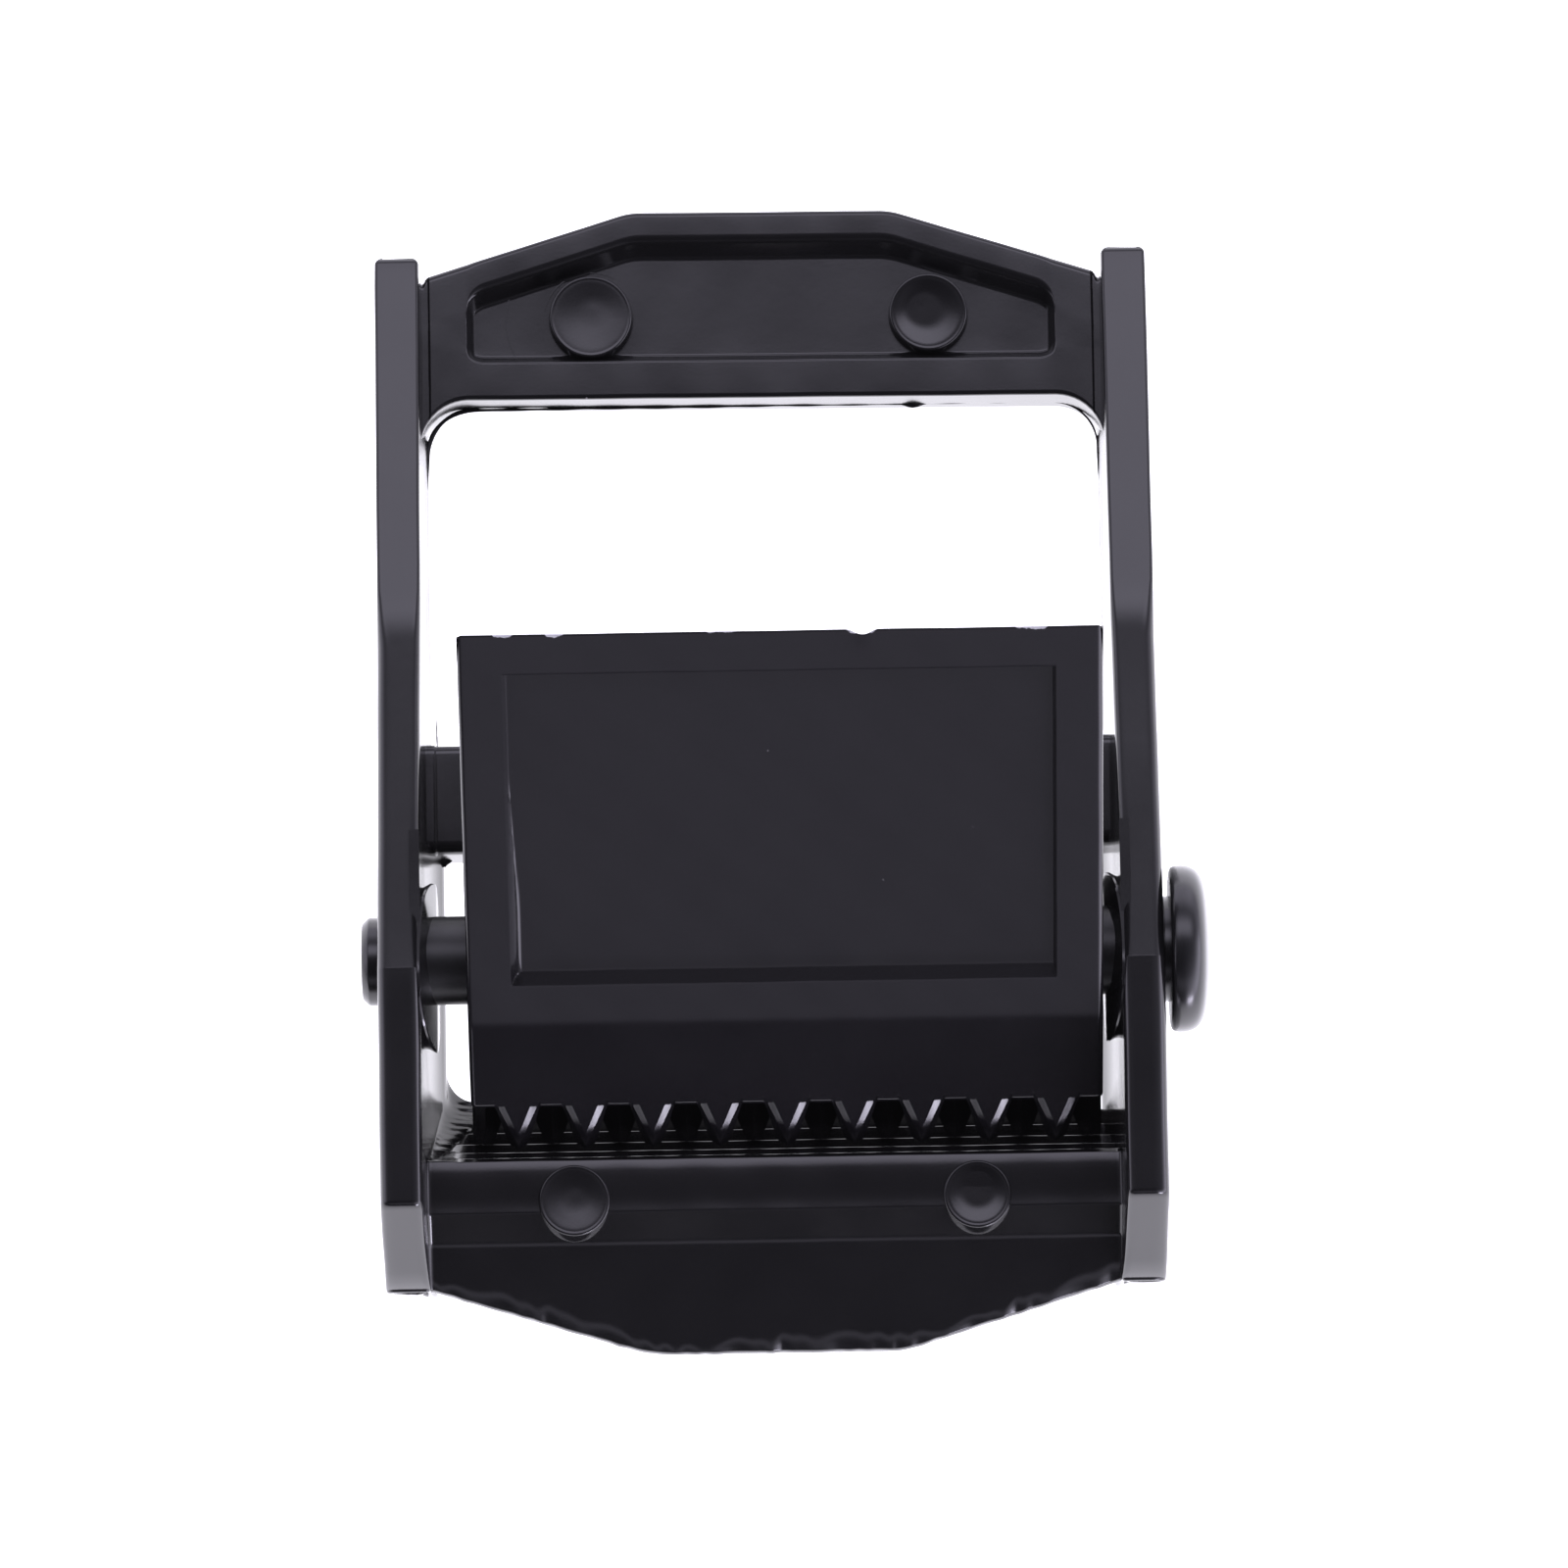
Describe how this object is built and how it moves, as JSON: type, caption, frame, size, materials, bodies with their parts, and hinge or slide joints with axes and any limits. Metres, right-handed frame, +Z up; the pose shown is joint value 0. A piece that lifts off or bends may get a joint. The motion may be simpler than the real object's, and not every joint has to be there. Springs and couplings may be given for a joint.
{
  "type": "cam buckle",
  "caption": "Cast cam buckle for flat webbing, with a sprung toothed thumb lever that grips the strap against a ridged bar.",
  "frame": {"origin": "on the flat underside of the middle bar, on the frame's middle line", "axes": "+X along the pivot pin towards its domed head, +Y towards the webbing bar, +Z up, away from the surface that the buckle lies on"},
  "size_m": [0.0344, 0.0473, 0.0181],
  "materials": {
    "frame_paint": "semi-gloss black coat over a zinc casting",
    "lever_paint": "semi-gloss black coat over a zinc casting, chipped along the thumb edge",
    "pin_paint": "gloss black steel rivet",
    "spring_wire": "bright spring wire"
  },
  "bodies": {
    "frame_body": {"frame": "frame_paint", "pivot_pin": "pin_paint", "torsion_spring": "spring_wire"},
    "lever_body": {"cam_lever": "lever_paint"}
  },
  "joints": [
    {"name": "cam_pivot", "type": "hinge", "parent": "frame_body", "child": "lever_body", "pos_m": [0, -0.00745, 0.006], "axis": [-1, 0, 0], "range_deg": [0, 56], "stiffness_Nm_per_rad": 0.012, "springref_deg": -68.75, "deforming": ["torsion_spring"]}
  ]
}
